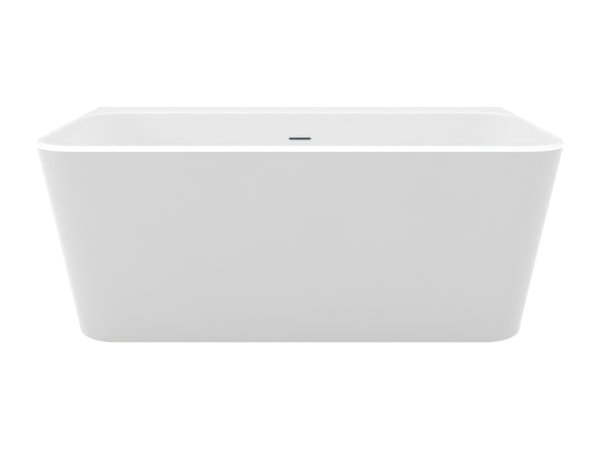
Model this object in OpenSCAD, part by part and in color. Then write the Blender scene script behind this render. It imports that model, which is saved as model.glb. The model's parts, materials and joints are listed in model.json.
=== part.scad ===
// Back-to-wall freestanding bathtub: two bonded acrylic shells on a levelling frame.
// +X runs along the length, the rounded front faces -Y, the wall side is +Y, +Z is up.
// The origin is on the floor, under the middle of the bath's box.

/* [Bath] */
// Length over the rim
bath_l = 1500; // [1400:10:1800]
// Width from the front of the rim to the wall
bath_w = 750; // [700:10:850]
// Height of the rim above the floor
bath_h = 600; // [560:5:640]
// Plan radius of the two front corners
corner_r = 142; // [100:1:200]
// Rounding of the outer edge of the rim
lip_r = 11; // [8:1:16]
// Thickness of the acrylic sheet
acrylic_t = 5; // [4:0.5:6]
// Thickness of the laminate sprayed under the basin
laminate_t = 3; // [2:0.5:5]

/* [Outer panel] */
// How far the front panel leans in between rim and floor
front_inset = 34; // [0:1:60]
// How far each end panel leans in between rim and floor
end_inset = 57; // [20:1:90]
// Gap under the panel for the sealing bead
floor_gap = 3; // [2:1:8]

/* [Basin] */
// Width of the rolled rim at the front and the ends
rim_w = 23; // [20:1:40]
// Depth of the ledge along the wall
ledge_w = 145; // [60:1:180]
// Plan radius of the basin's two rear corners
rear_corner_r = 120; // [90:5:130]
// Rounding where the rim turns down into the basin
lip_in_r = 8; // [7:0.5:12]
// Lean of the two backrests from upright, in degrees
end_slope = 22; // [15:1:26]
// Lean of the front and rear basin walls, in degrees
side_slope = 6; // [4:1:8]
// Height of the basin floor above the room's floor
floor_z = 160; // [150:5:190]
// Radius between the walls and the basin floor
floor_fillet = 85; // [60:5:100]

/* [Waste and overflow] */
// Depth of the overflow slot below the rim
slot_drop = 93; // [70:1:120]
// Width of the overflow slot
slot_w = 76; // [50:1:90]
// Height of the overflow slot
slot_h = 6; // [5:0.5:10]
// Outer radius of the chromed waste flange
flange_r = 35; // [32:0.5:38]
// Outer radius of the outlet pipe
pipe_r = 20; // [16:0.5:21]
// Outer radius of the spigot that the house drain takes
spigot_r = 25; // [23:0.5:28]
// How far the plug goes down when it is pressed
plug_travel = 8; // [5:0.5:8]

/* [Frame and feet] */
// Side of the square frame tube
tube_w = 30; // [25:1:35]
// Wall of the frame tube
tube_t = 2; // [1.5:0.5:3]
// Distance from the middle of the bath to the outer cross tubes
cross_x = 430; // [400:5:450]
// Radius of the levelling rods
rod_r = 6; // [5:0.5:8]
// Radius of the foot pads
pad_r = 25; // [20:1:30]
// How far each foot can be screwed out
foot_travel = 20; // [10:1:25]

/* [Hidden] */

corner_steps = 12;              // facets in a quarter of a moulded corner
lip_z = bath_h - lip_r;         // height where the rounding of the rim begins
seam_z = lip_z - 3;             // joint between the basin's lip and the outer panel
back_corner_r = 3;
edge_u = rim_w - lip_in_r;      // where the inner rounding starts at front and ends
ledge_u = ledge_w - lip_in_r;   // the same along the wall
roll_z = bath_h - lip_in_r;
fillet_z = floor_z + floor_fillet;

function last(v) = v[len(v) - 1];
function reversed(v) = [for (i = [len(v) - 1:-1:0]) v[i]];
function arc(cx, cy, r, from, to, z) =
    [for (i = [0:corner_steps]) let (a = from + (to - from) * i / corner_steps)
        [cx + r * cos(a), cy + r * sin(a), z]];

// A level ring: hx is half its length, yf its front, yb its back
function ring(hx, yf, yb, rf, rb, z) = concat(
    arc(hx - rb, yb - rb, rb, 0, 90, z), arc(rb - hx, yb - rb, rb, 90, 180, z),
    arc(rf - hx, yf + rf, rf, 180, 270, z), arc(hx - rf, yf + rf, rf, 270, 360, z));

// Distance inward from the rim's edge to a basin wall at height z: the roll, the straight
// wall at slope a, then the fillet to the floor. off is the distance behind the wet face.
function wall_u(z, a, start, off) = let (
    roll = lip_in_r - off, roll_end = roll_z + roll * sin(a),
    fillet = floor_fillet + off, wall_end = fillet_z - fillet * sin(a),
    wet_top = roll_z + lip_in_r * sin(a), wet_end = fillet_z - floor_fillet * sin(a),
    centre = start + (lip_in_r + floor_fillet) * cos(a) + (wet_top - wet_end) * tan(a))
    z >= roll_end ? start + sqrt(max(0, roll * roll - pow(z - roll_z, 2)))
    : z > wall_end ? start + roll * cos(a) + (roll_end - z) * tan(a)
    : centre - sqrt(max(0, fillet * fillet - pow(fillet_z - z, 2)));

function basin_ring(z, off) = let (
    front = wall_u(z, side_slope, edge_u, off),
    back = wall_u(z, side_slope, ledge_u, off),
    roll = min(front - edge_u, (lip_in_r - off) * cos(side_slope)))
    ring(bath_l / 2 - wall_u(z, end_slope, edge_u, off), front - bath_w / 2, bath_w / 2 - back,
        corner_r - edge_u - roll, rear_corner_r + lip_in_r - roll, z);

function lip_ring(inset, z) =
    ring(bath_l / 2 - inset, inset - bath_w / 2, bath_w / 2 - inset, corner_r - inset, back_corner_r, z);

roll_angles = [side_slope, end_slope, 38, 54, 72, 90];
fillet_angles = [90, 80, 68, 56, 44, 33, end_slope, 14, side_slope];

// Rings from the middle of the basin floor up to the top of the roll
function fillet_rings(off) =
    [for (a = fillet_angles) basin_ring(fillet_z - (floor_fillet + off) * sin(a), off)];
function roll_rings(off) =
    [for (a = roll_angles) basin_ring(roll_z + (lip_in_r - off) * sin(a), off)];
// Rings from the top of the rim out and down to the seam
function lip_rings(off) = concat(
    [for (a = [90:-18:0]) lip_ring(lip_r - (lip_r - off) * cos(a), lip_z + (lip_r - off) * sin(a))],
    [lip_ring(off, seam_z)]);
function sheet_rings(off) = concat(fillet_rings(off), roll_rings(off), lip_rings(off));

// A closed solid through a list of rings, with a flat cap on the first and the last
module ring_loft(rings) {
    n = len(rings[0]);
    m = len(rings);
    polyhedron([for (r = rings) each r], concat(
        [[for (j = [n - 1:-1:0]) j]],
        [for (i = [0:m - 2], j = [0:n - 1]) let (k = (j + 1) % n)
            each [[i * n + j, i * n + k, (i + 1) * n + k], [i * n + j, (i + 1) * n + k, (i + 1) * n + j]]],
        [[for (j = [0:n - 1]) (m - 1) * n + j]]));
}

// Middle of the basin floor, where the waste is
floor_front = wall_u(floor_z, side_slope, edge_u, 0) - bath_w / 2;
floor_back = bath_w / 2 - wall_u(floor_z, side_slope, ledge_u, 0);
waste_y = (floor_front + floor_back) / 2;
dry_z = floor_z - acrylic_t;
laminate_z = dry_z - laminate_t;
laminate_top = bath_h - 40;
waste_hole_r = 26;
recess = 1.5;

// Rear basin wall at the overflow slot
slot_z = bath_h - slot_drop;
slot_dry_y = bath_w / 2 - wall_u(slot_z, side_slope, ledge_u, acrylic_t);

module at_waste() { translate([0, waste_y, 0]) children(); }
module at_slot() { translate([0, slot_dry_y, slot_z]) rotate([-side_slope, 0, 0]) children(); }
// A flat slot with round ends, running along +Y from y
module slot_bar(w, h, y, l) {
    translate([0, y, 0]) rotate([-90, 0, 0]) linear_extrude(l) union() {
        square([w - h, h], center = true);
        for (s = [-1, 1]) translate([s * (w - h) / 2, 0]) circle(d = h, $fn = 48);
    }
}

module basin_shell() {
    color("white") difference() {
        ring_loft(concat(sheet_rings(0), reversed(sheet_rings(acrylic_t))));
        at_waste() translate([0, 0, dry_z - 1]) cylinder(r = waste_hole_r, h = acrylic_t + 2, $fn = 72);
        at_waste() translate([0, 0, floor_z - recess]) cylinder(r = flange_r + 2, h = 10, $fn = 72);
        at_slot() slot_bar(slot_w + 3, slot_h + 3, -30, 60);
    }
}

bond = 0.05;                             // glue line between the acrylic and the laminate
module grp_laminate() {
    window_w = slot_w + 54;
    color("wheat") difference() {
        ring_loft(concat(fillet_rings(acrylic_t + bond), [basin_ring(laminate_top, acrylic_t + bond)],
            [basin_ring(laminate_top, acrylic_t + laminate_t)],
            reversed(fillet_rings(acrylic_t + laminate_t))));
        at_waste() translate([0, 0, laminate_z - 1]) cylinder(r = waste_hole_r, h = 10, $fn = 72);
        at_slot() translate([-window_w / 2, -20, -29]) cube([window_w, 60, 200]);
    }
}

// --- outer panel ---
panel_bottom = floor_gap;
function lean(z) = (lip_z - z) / lip_z;
function panel_x(z) = bath_l / 2 - end_inset * lean(z);
function panel_y(z) = front_inset * lean(z) - bath_w / 2;
function panel_loop(z, off) = let (hx = panel_x(z) - off, yf = panel_y(z) + off, r = corner_r - off)
    concat([[-hx, bath_w / 2, z]], arc(r - hx, yf + r, r, 180, 270, z),
        arc(hx - r, yf + r, r, 270, 360, z), [[hx, bath_w / 2, z]]);

module outer_panel() {
    loops = [panel_loop(panel_bottom, 0), panel_loop(seam_z, 0),
        panel_loop(seam_z, acrylic_t), panel_loop(panel_bottom, acrylic_t)];
    n = len(loops[0]);
    color("white") polyhedron([for (l = loops) each l], concat(
        [for (k = [0:3], j = [0:n - 2]) let (q = (k + 1) % 4)
            each [[k * n + j, q * n + j, q * n + j + 1], [k * n + j, q * n + j + 1, k * n + j + 1]]],
        [[3 * n, 2 * n, n, 0]], [[n - 1, 2 * n - 1, 3 * n - 1, 4 * n - 1]]));
}

// --- timber bonded to the shells ---
board_l = 920;
board_w = 300;
board_t = 18;
board_z = laminate_z - board_t;
board_hole_r = 48;
batten_t = 20;
batten_h = 40;
batten_z = 8;
post_w = 45;
post_y = bath_w / 2 - 12 - post_w;

module base_board() {
    color("burlywood") difference() {
        translate([-board_l / 2, waste_y - board_w / 2, board_z]) cube([board_l, board_w, board_t]);
        at_waste() translate([0, 0, board_z - 1]) cylinder(r = board_hole_r, h = board_t + 2, $fn = 72);
        at_board_screws() pilot_hole(16);
    }
}

ledge_batten_y = bath_w / 2 - lip_r - batten_t;
ledge_batten_z = bath_h - acrylic_t - batten_h;
module ledge_batten() {
    length = bath_l - 140;
    color("burlywood") difference() {
        translate([-length / 2, ledge_batten_y, ledge_batten_z]) cube([length, batten_t, batten_h]);
        at_wall_screws() pilot_hole(17);
    }
}

post_bottom = batten_z;
post_top = ledge_batten_z - 8;
module rear_posts() {
    angle = atan(end_inset / lip_z);
    length = (post_top - post_bottom) / cos(angle);
    color("burlywood") for (s = [-1, 1])
        translate([s * (panel_x(post_bottom) - acrylic_t - 2.5 - batten_t / 2), post_y + post_w / 2, post_bottom])
            rotate([0, s * angle, 0]) translate([-batten_t / 2, -post_w / 2, 0])
                cube([batten_t, post_w, length]);
}

front_batten_y = panel_y(batten_z) + acrylic_t + 0.2;
module panel_batten_front() {
    length = 2 * (panel_x(0) - corner_r);
    color("burlywood") difference() {
        translate([-length / 2, front_batten_y, batten_z]) cube([length, batten_t, batten_h]);
        at_panel_screws() pilot_hole(17);
    }
}

end_batten_x = panel_x(batten_z) - acrylic_t - 0.2 - batten_t;
module end_batten(side) {
    front = panel_y(0) + corner_r + 10;
    length = post_y - 10 - front;
    color("burlywood") difference() {
        translate([side > 0 ? end_batten_x : -end_batten_x - batten_t, front, batten_z])
            cube([batten_t, length, batten_h]);
        at_panel_screws() pilot_hole(17);
    }
}
module panel_batten_left() { end_batten(-1); }
module panel_batten_right() { end_batten(1); }

// --- steel frame ---
rail_gap = 105;                          // from the waste's centre line to each rail's
bracket_t = 3;
cap_gap = bracket_t + 4;                 // from a batten to the end of a tube: bracket, cap and play
rail_l = 2 * (end_batten_x - cap_gap);
rail_z = board_z - tube_w;
cross_z = rail_z - tube_w;
cross_front = front_batten_y + batten_t + cap_gap;
cross_back = 300;
middle_x = -150;
foot_at = [[-cross_x, cross_front + 60], [cross_x, cross_front + 60],
    [-cross_x, cross_back - 30], [cross_x, cross_back - 30], [middle_x, waste_y]];

module rail(y) {
    color("silver") translate([-rail_l / 2, y - tube_w / 2, rail_z]) difference() {
        cube([rail_l, tube_w, tube_w]);
        translate([-1, tube_t, tube_t]) cube([rail_l + 2, tube_w - 2 * tube_t, tube_w - 2 * tube_t]);
    }
}
module frame_rail_front() { rail(waste_y - rail_gap); }
module frame_rail_rear() { rail(waste_y + rail_gap); }

// A cross tube from y0 to y1, drilled for the levelling rods
module cross_tube(x, y0, y1) {
    color("silver") difference() {
        translate([x - tube_w / 2, y0, cross_z]) cube([tube_w, y1 - y0, tube_w]);
        translate([x - tube_w / 2 + tube_t, y0 - 1, cross_z + tube_t])
            cube([tube_w - 2 * tube_t, y1 - y0 + 2, tube_w - 2 * tube_t]);
        for (p = foot_at) if (p.x == x)
            translate([x, p.y, cross_z - 1]) cylinder(r = rod_r + 0.75, h = tube_w + 2, $fn = 48);
    }
}
module cross_tube_left() { cross_tube(-cross_x, cross_front, cross_back); }
module cross_tube_right() { cross_tube(cross_x, cross_front, cross_back); }
module cross_tube_middle() {
    cross_tube(middle_x, waste_y - rail_gap - tube_w / 2, waste_y + rail_gap + tube_w / 2);
}

// Plastic plugs in the open ends of the rails and the outer cross tubes
module tube_cap() {
    fit = tube_w - 2 * tube_t;
    union() {
        translate([-tube_w / 2, 0, -tube_w / 2]) cube([tube_w, 2, tube_w]);
        translate([-fit / 2, -14, -fit / 2]) cube([fit, 14.5, fit]);
    }
}
module frame_end_caps() {
    color("dimgray") {
        for (s = [-1, 1], y = [waste_y - rail_gap, waste_y + rail_gap])
            translate([s * rail_l / 2, y, rail_z + tube_w / 2]) rotate([0, 0, -90 * s]) tube_cap();
        for (x = [-cross_x, cross_x]) {
            translate([x, cross_back, cross_z + tube_w / 2]) tube_cap();
            translate([x, cross_front, cross_z + tube_w / 2]) rotate([0, 0, 180]) tube_cap();
        }
    }
}

nut_h = 10;
nut_d = 22;
module hex_nut(h, d, bore_r) {
    difference() {
        cylinder(d = d, h = h, $fn = 6);
        translate([0, 0, -1]) cylinder(r = bore_r, h = h + 2, $fn = 48);
    }
}
module weld_nuts() {
    color("silver") for (p = foot_at)
        translate([p.x, p.y, cross_z - nut_h]) hex_nut(nut_h, nut_d, rod_r + 0.05);
}

// Small angle clips that hold the rails to the base board
clip_w = 24;
clip_t = 2.5;
clip_x = [-380, -120, 120, 380];
module frame_clip(s) {
    translate([-clip_w / 2, s > 0 ? tube_w / 2 : -tube_w / 2 - clip_t, -tube_w]) cube([clip_w, clip_t, tube_w]);
    translate([-clip_w / 2, s > 0 ? tube_w / 2 : -tube_w / 2 - clip_w, -clip_t]) cube([clip_w, clip_w, clip_t]);
}
module frame_clips() {
    color("silver") for (x = clip_x, s = [-1, 1])
        translate([x, waste_y + s * rail_gap, board_z]) difference() {
            union() frame_clip(s);
            translate([0, s * (tube_w / 2 + 14), -5]) cylinder(r = 2.5, h = 10, $fn = 32);
        }
}
screw_r = 2.4;
// A pan-head screw whose head sits on z = 0 and whose shank points along +Z
module screw(shank_r, length) {
    rotate_extrude($fn = 32) polygon([[0, -2.6], [shank_r * 1.2, -2.6], [shank_r * 1.9, -1.6],
        [shank_r * 2, 0], [shank_r, 0], [shank_r, length - 3], [0, length]]);
}
// The hole that a screw cuts in timber: just clear of its shank, and a little deeper
module pilot_hole(length) { cylinder(r = screw_r + 0.05, h = length + 1, $fn = 32); }
module at_board_screws() {
    for (x = clip_x, s = [-1, 1])
        translate([x, waste_y + s * (rail_gap + tube_w / 2 + 14), board_z - clip_t]) children();
}
module board_screws() { color("gainsboro") at_board_screws() screw(screw_r, 16); }

// --- brackets from the frame to the panel and from the ledge to the wall ---
bracket_w = 40;
// Upright plate against the batten (local +X outward) and a tongue back over a tube
module panel_bracket(top, reach) {
    difference() {
        union() {
            translate([-bracket_t, -bracket_w / 2, batten_z + 4]) cube([bracket_t, bracket_w, top - batten_z - 4]);
            translate([-reach, -bracket_w / 2, top]) cube([reach, bracket_w, bracket_t]);
        }
        for (s = [-1, 1]) translate([-bracket_t - 1, s * 12, batten_z + 22]) rotate([0, 90, 0])
            cylinder(r = 2.5, h = bracket_t + 2, $fn = 32);
    }
}
module at_panel_brackets() {
    for (x = [-cross_x, cross_x]) translate([x, front_batten_y + batten_t, 0]) rotate([0, 0, -90]) children(0);
    for (s = [-1, 1], y = [waste_y - rail_gap, waste_y + rail_gap])
        translate([s * end_batten_x, y, 0]) rotate([0, 0, s > 0 ? 0 : 180]) children(1);
}
module panel_brackets() {
    color("silver") at_panel_brackets() {
        panel_bracket(cross_z + tube_w, 45);
        panel_bracket(rail_z + tube_w, 45);
    }
}
module at_bracket_screws() {
    for (s = [-1, 1]) translate([-bracket_t, s * 12, batten_z + 22]) rotate([0, 90, 0]) children();
}
module at_panel_screws() {
    at_panel_brackets() {
        at_bracket_screws() children();
        at_bracket_screws() children();
    }
}
module panel_screws() { color("gainsboro") at_panel_screws() screw(screw_r, 17); }

wall_bracket_x = [-560, 560];
module wall_brackets() {
    color("silver") for (x = wall_bracket_x) difference() {
        union() {
            translate([x - 25, ledge_batten_y - bracket_t, ledge_batten_z - 40]) cube([50, bracket_t, 70]);
            translate([x - 25, ledge_batten_y - bracket_t, ledge_batten_z - 40])
                cube([50, bath_w / 2 - ledge_batten_y, bracket_t]);
            translate([x - 25, bath_w / 2 - 3 - bracket_t, ledge_batten_z - 80]) cube([50, bracket_t, 43]);
        }
        for (s = [-1, 1]) translate([x + s * 14, ledge_batten_y - 10, ledge_batten_z + 18]) rotate([-90, 0, 0])
            cylinder(r = 2.5, h = 20, $fn = 32);
        translate([x, bath_w / 2 - 20, ledge_batten_z - 62]) rotate([-90, 0, 0])
            cylinder(r = 4, h = 30, $fn = 32);
    }
}
module at_wall_screws() {
    for (x = wall_bracket_x, s = [-1, 1])
        translate([x + s * 14, ledge_batten_y - bracket_t, ledge_batten_z + 18]) rotate([-90, 0, 0]) children();
}
module wall_bracket_screws() { color("gainsboro") at_wall_screws() screw(screw_r, 17); }

// --- waste ---
seat_z = floor_z - recess;
seal_t = 1;
flange_z = seat_z + seal_t;
flange_top = flange_z + 2.5;
tail_r = 24;
tail_bore = 20.5;
tail_z = 92;
hub_z = 133;
hub_h = 7;
cartridge_r = 8;
module waste_flange() {
    color("lightgray") at_waste() {
        rotate_extrude($fn = 96) polygon([[tail_bore, tail_z], [tail_r, tail_z], [tail_r, flange_z],
            [flange_r, flange_z], [flange_r, flange_z + 1.2], [flange_r - 2, flange_top],
            [flange_r - 3.5, flange_top], [flange_r - 4.5, flange_top - 0.8], [tail_r - 0.8, flange_z + 0.8],
            [tail_r - 1.5, flange_z - 0.5], [tail_bore, floor_z - 13]]);
        difference() {
            union() {
                translate([0, 0, hub_z]) cylinder(r = cartridge_r + 3, h = hub_h, $fn = 48);
                for (a = [45, 135]) rotate([0, 0, a])
                    translate([-tail_bore - 1.5, -1.5, hub_z]) cube([2 * tail_bore + 3, 3, hub_h]);
            }
            translate([0, 0, hub_z - 1]) cylinder(r = cartridge_r, h = hub_h + 2, $fn = 48);
        }
    }
}
// A flat ring, centred on the waste
module waste_ring(r0, r1, z, h) {
    at_waste() translate([0, 0, z]) rotate_extrude($fn = 72) translate([r0, 0]) square([r1 - r0, h]);
}
around_tail = tail_r + 0.05;
module waste_top_seal() { color("dimgray") waste_ring(around_tail, flange_r - 1, seat_z, seal_t); }
bottom_seal_t = 5;
module waste_bottom_seal() {
    color("dimgray") waste_ring(around_tail, 38, laminate_z - bottom_seal_t, bottom_seal_t);
}
back_nut_h = 12;
back_nut_z = laminate_z - bottom_seal_t - back_nut_h;
module waste_back_nut() {
    color("whitesmoke") at_waste() translate([0, 0, back_nut_z]) difference() {
        union() {
            cylinder(r = 39, h = 3, $fn = 72);
            cylinder(r = 33, h = back_nut_h, $fn = 72);
            for (a = [0:45:315]) rotate([0, 0, a]) translate([30, -3, 0]) cube([9, 6, back_nut_h]);
        }
        translate([0, 0, -1]) cylinder(r = around_tail, h = back_nut_h + 2, $fn = 72);
    }
}

stem_r = 4;
cartridge_z = 126;
cartridge_h = 24;
cavity_z = cartridge_z + 3;
cavity_top = cartridge_z + cartridge_h - 2;
collar_top = cavity_top - 0.5;
collar_h = 2;
module plug_cartridge() {
    color("whitesmoke") at_waste() rotate_extrude($fn = 48) polygon([[stem_r + 0.05, cartridge_z],
        [cartridge_r, cartridge_z], [cartridge_r, cartridge_z + cartridge_h],
        [stem_r + 0.05, cartridge_z + cartridge_h], [stem_r + 0.05, cavity_top], [6.5, cavity_top],
        [6.5, cavity_z], [stem_r + 0.05, cavity_z]]);
}

// A coil of wire: a closed tube along a helix
function helix(r, wire, h, turns, steps, sides) =
    [for (i = [0:turns * steps]) let (a = 360 * i / steps, z = h * i / (turns * steps))
        [for (j = [0:sides - 1]) let (b = -360 * j / sides)
            [(r + wire * cos(b)) * cos(a), (r + wire * cos(b)) * sin(a), z + wire * sin(b)]]];
spring_wire = 0.5;
spring_r = 5.4;
spring_h = collar_top - collar_h - cavity_z - 2 * spring_wire - 0.2;
module plug_spring() {
    color("silver") at_waste() translate([0, 0, cavity_z + spring_wire + 0.1])
        ring_loft(helix(spring_r, spring_wire, spring_h, 6, 20, 8));
}

cap_z = flange_top + plug_travel + 0.5;
cap_r = 30;
module plug_cap() {
    color("lightgray") at_waste() rotate_extrude($fn = 96) polygon([[0, cap_z], [cap_r, cap_z],
        [cap_r + 0.6, cap_z + 0.8], [cap_r, cap_z + 2.2], [cap_r - 4, cap_z + 3.2],
        [cap_r - 14, cap_z + 4.1], [0, cap_z + 4.5]]);
}
module plug_stem() {
    color("silver") at_waste() union() {
        translate([0, 0, cartridge_z - 10]) cylinder(r = stem_r, h = cap_z - cartridge_z + 10, $fn = 48);
        translate([0, 0, collar_top - collar_h]) cylinder(r = 5.6, h = collar_h, $fn = 48);
    }
}
module plug_seal() {
    color("dimgray") at_waste() translate([0, 0, cap_z - 3]) rotate_extrude($fn = 72)
        polygon([[stem_r, 0.6], [19, 0.6], [20.5, 0], [21.8, 1.4], [21.8, 3], [stem_r, 3]]);
}

// --- trap and outlet ---
trap_r = 46;
trap_z = 44;
trap_top = 98;
outlet_z = 72;
trap_t = 3;
port_angle = 40;                         // bearing of the overflow port from +X
port_reach = 62;
port_r = 10;
module port_axis() { translate([0, 0, outlet_z + 6]) rotate([0, 0, port_angle]) rotate([0, 90, 0]) children(); }
module outlet_axis() { translate([0, 0, outlet_z]) rotate([-90, 0, 0]) children(); }
outlet_reach = 78;
module trap_body() {
    color("whitesmoke") at_waste() difference() {
        union() {
            translate([0, 0, trap_z]) cylinder(r = trap_r, h = trap_top - 6 - trap_z, $fn = 72);
            translate([0, 0, trap_top - 6]) cylinder(r1 = trap_r, r2 = 33, h = 6, $fn = 72);
            outlet_axis() cylinder(r = pipe_r + 4, h = outlet_reach, $fn = 72);
            port_axis() cylinder(r = port_r, h = port_reach, $fn = 48);
        }
        translate([0, 0, trap_z - 1]) cylinder(r = trap_r - trap_t, h = trap_top - 6 - trap_z - 1, $fn = 72);
        translate([0, 0, trap_top - 10]) cylinder(r = tail_r + 0.4, h = 20, $fn = 72);
        outlet_axis() cylinder(r = pipe_r - 2, h = outlet_reach + 1, $fn = 72);
        outlet_axis() translate([0, 0, outlet_reach - 20]) cylinder(r = pipe_r + 0.2, h = 30, $fn = 72);
        port_axis() cylinder(r = port_r - 2.5, h = port_reach + 1, $fn = 48);
    }
}
module trap_nut() {
    color("whitesmoke") at_waste() translate([0, 0, trap_top]) difference() {
        union() {
            cylinder(r = 33, h = 14, $fn = 72);
            for (a = [0:30:330]) rotate([0, 0, a]) translate([31, -2, 0]) cube([4, 4, 14]);
        }
        translate([0, 0, -1]) cylinder(r = around_tail, h = 16, $fn = 72);
    }
}
module trap_seal() { color("dimgray") waste_ring(around_tail, tail_r + 0.4, trap_top - 6, 6); }
module trap_cup() {
    color("whitesmoke") at_waste() translate([0, 0, trap_z - 14]) difference() {
        union() {
            cylinder(r = trap_r + 1, h = 11, $fn = 72);
            for (a = [0:30:330]) rotate([0, 0, a]) translate([trap_r - 1, -2.5, 0]) cube([5, 5, 11]);
        }
        translate([0, 0, trap_t]) cylinder(r = trap_r - trap_t, h = 20, $fn = 72);
    }
}
module trap_cup_seal() { color("dimgray") waste_ring(trap_r - trap_t, trap_r, trap_z - 3, 3); }
module outlet_nut() {
    color("whitesmoke") at_waste() outlet_axis() translate([0, 0, outlet_reach]) difference() {
        union() {
            cylinder(r = pipe_r + 8, h = 14, $fn = 72);
            for (a = [0:30:330]) rotate([0, 0, a]) translate([pipe_r + 6, -2, 0]) cube([4, 4, 14]);
        }
        translate([0, 0, -1]) cylinder(r = pipe_r, h = 16, $fn = 72);
    }
}
module outlet_seal() {
    color("dimgray") at_waste() outlet_axis() translate([0, 0, outlet_reach - 6]) rotate_extrude($fn = 72)
        translate([pipe_r, 0]) square([0.2, 6]);
}
outlet_end = bath_w / 2 - 35;
adaptor_y = outlet_end - 95;             // where the adaptor slips over the pipe
pipe_end = outlet_end - 60;
module outlet_pipe() {
    start = waste_y + outlet_reach - 19;
    color("white") translate([0, start, outlet_z]) rotate([-90, 0, 0]) difference() {
        cylinder(r = pipe_r, h = pipe_end - start, $fn = 72);
        translate([0, 0, -1]) cylinder(r = pipe_r - 2, h = pipe_end - start + 2, $fn = 72);
    }
}
// A socket over the pipe, a stop ring, and the larger spigot that the house drain takes
module outlet_adaptor() {
    color("white") translate([0, outlet_end, outlet_z]) rotate([-90, 0, 0]) rotate_extrude($fn = 96)
        polygon([[pipe_r + 0.05, -95], [pipe_r + 3, -95], [pipe_r + 4, -94], [pipe_r + 4, -60],
            [spigot_r + 3, -60], [spigot_r + 3, -55], [spigot_r, -55], [spigot_r, 0],
            [spigot_r - 3, 0], [spigot_r - 3, -55], [pipe_r - 2, -59.5], [pipe_r + 0.05, -59.5]]);
}

// --- overflow ---
gasket_t = 3;
box_w = 104;
box_h = 32;
box_d = 30;
spout_r = 10;
spout_y = 20;
spout_drop = 26;
module overflow_trim() {
    color("lightgray") at_slot() difference() {
        union() {
            slot_bar(slot_w + 3, slot_h + 3, -acrylic_t - 0.5, acrylic_t + 4.5);
            slot_bar(slot_w + 4, slot_h + 4, -acrylic_t - 0.7, 0.7);
        }
        slot_bar(slot_w, slot_h, -acrylic_t - 5, 30);
    }
}
module overflow_gasket() {
    color("dimgray") at_slot() difference() {
        translate([-box_w / 2, 0, -box_h / 2]) cube([box_w, gasket_t, box_h]);
        slot_bar(slot_w + 3, slot_h + 3, -1, gasket_t + 2);
    }
}
module overflow_box() {
    color("whitesmoke") at_slot() difference() {
        union() {
            translate([-box_w / 2, gasket_t, -box_h / 2]) cube([box_w, box_d, box_h]);
            translate([-box_w / 2 - 9, gasket_t, -box_h / 2]) cube([box_w + 18, 3, box_h]);
            translate([0, spout_y, -box_h / 2 - spout_drop]) cylinder(r = spout_r, h = spout_drop + 3, $fn = 48);
        }
        translate([-box_w / 2 + 3, gasket_t - 1, -box_h / 2 + 3]) cube([box_w - 6, box_d - 2, box_h - 6]);
        translate([0, spout_y, -box_h / 2 - spout_drop - 1])
            cylinder(r = spout_r - 2.5, h = spout_drop + 8, $fn = 48);
    }
}
module overflow_nut() {
    color("whitesmoke") at_slot() translate([0, spout_y, -box_h / 2 - spout_drop + 2]) difference() {
        union() {
            cylinder(r = spout_r + 4, h = 18, $fn = 48);
            for (a = [0:45:315]) rotate([0, 0, a]) translate([spout_r + 2, -1.5, 0]) cube([4, 3, 18]);
        }
        translate([0, 0, -1]) cylinder(r = spout_r, h = 20, $fn = 48);
    }
}

// Middle line of the hose, from the overflow box down and forward to the trap's port
spout_end = [0, slot_dry_y + spout_y * cos(side_slope) - (box_h / 2 + spout_drop) * sin(side_slope),
    slot_z - spout_y * sin(side_slope) - (box_h / 2 + spout_drop) * cos(side_slope)];
port_end = [port_reach * cos(port_angle), waste_y + port_reach * sin(port_angle), outlet_z + 6];
spout_way = [0, -sin(side_slope), -cos(side_slope)];
port_way = [cos(port_angle), sin(port_angle), 0];
hose_route = concat([spout_end, spout_end + 14 * spout_way], [
    [4, 238, 400], [22, 234, 350], [52, 230, 300], [84, 224, 250], [112, 212, 205],
    [134, 190, 165], [146, 158, 130], [148, 118, 103], [138, 76, 86], [116, 38, 79]],
    [port_end + 14 * port_way, port_end]);
hose_r = 10;
function tangent(p, i) = let (d = p[min(i + 1, len(p) - 1)] - p[max(i - 1, 0)]) d / norm(d);
function spline(p, i, t) = let (a = p[max(i - 1, 0)], b = p[i], c = p[i + 1], d = p[min(i + 2, len(p) - 1)])
    0.5 * (2 * b + (c - a) * t + (2 * a - 5 * b + 4 * c - d) * t * t + (3 * b - a - 3 * c + d) * t * t * t);
function smooth_route(p, cuts) =
    concat([for (i = [0:len(p) - 2], k = [0:cuts - 1]) spline(p, i, k / cuts)], [last(p)]);
function sweep(route, ways, r, sides) = [for (i = [0:len(route) - 1]) let (
    w = ways[i], u = cross(w, [1, 0, 0]) / norm(cross(w, [1, 0, 0])), v = cross(w, u))
    [for (j = [0:sides - 1]) let (a = -360 * j / sides) route[i] + r * (u * cos(a) + v * sin(a))]];
module overflow_hose() {
    route = smooth_route(hose_route, 3);
    inner = len(route) - 2;
    ways = concat([spout_way], [for (i = [1:inner]) tangent(route, i)], [-port_way]);
    color("whitesmoke") ring_loft(sweep(route, ways, hose_r, 12));
}
module hose_clip() {
    color("silver") at_waste() port_axis() translate([0, 0, port_reach - 12]) rotate_extrude($fn = 48)
        translate([port_r, 0]) square([1.6, 10]);
}

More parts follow.
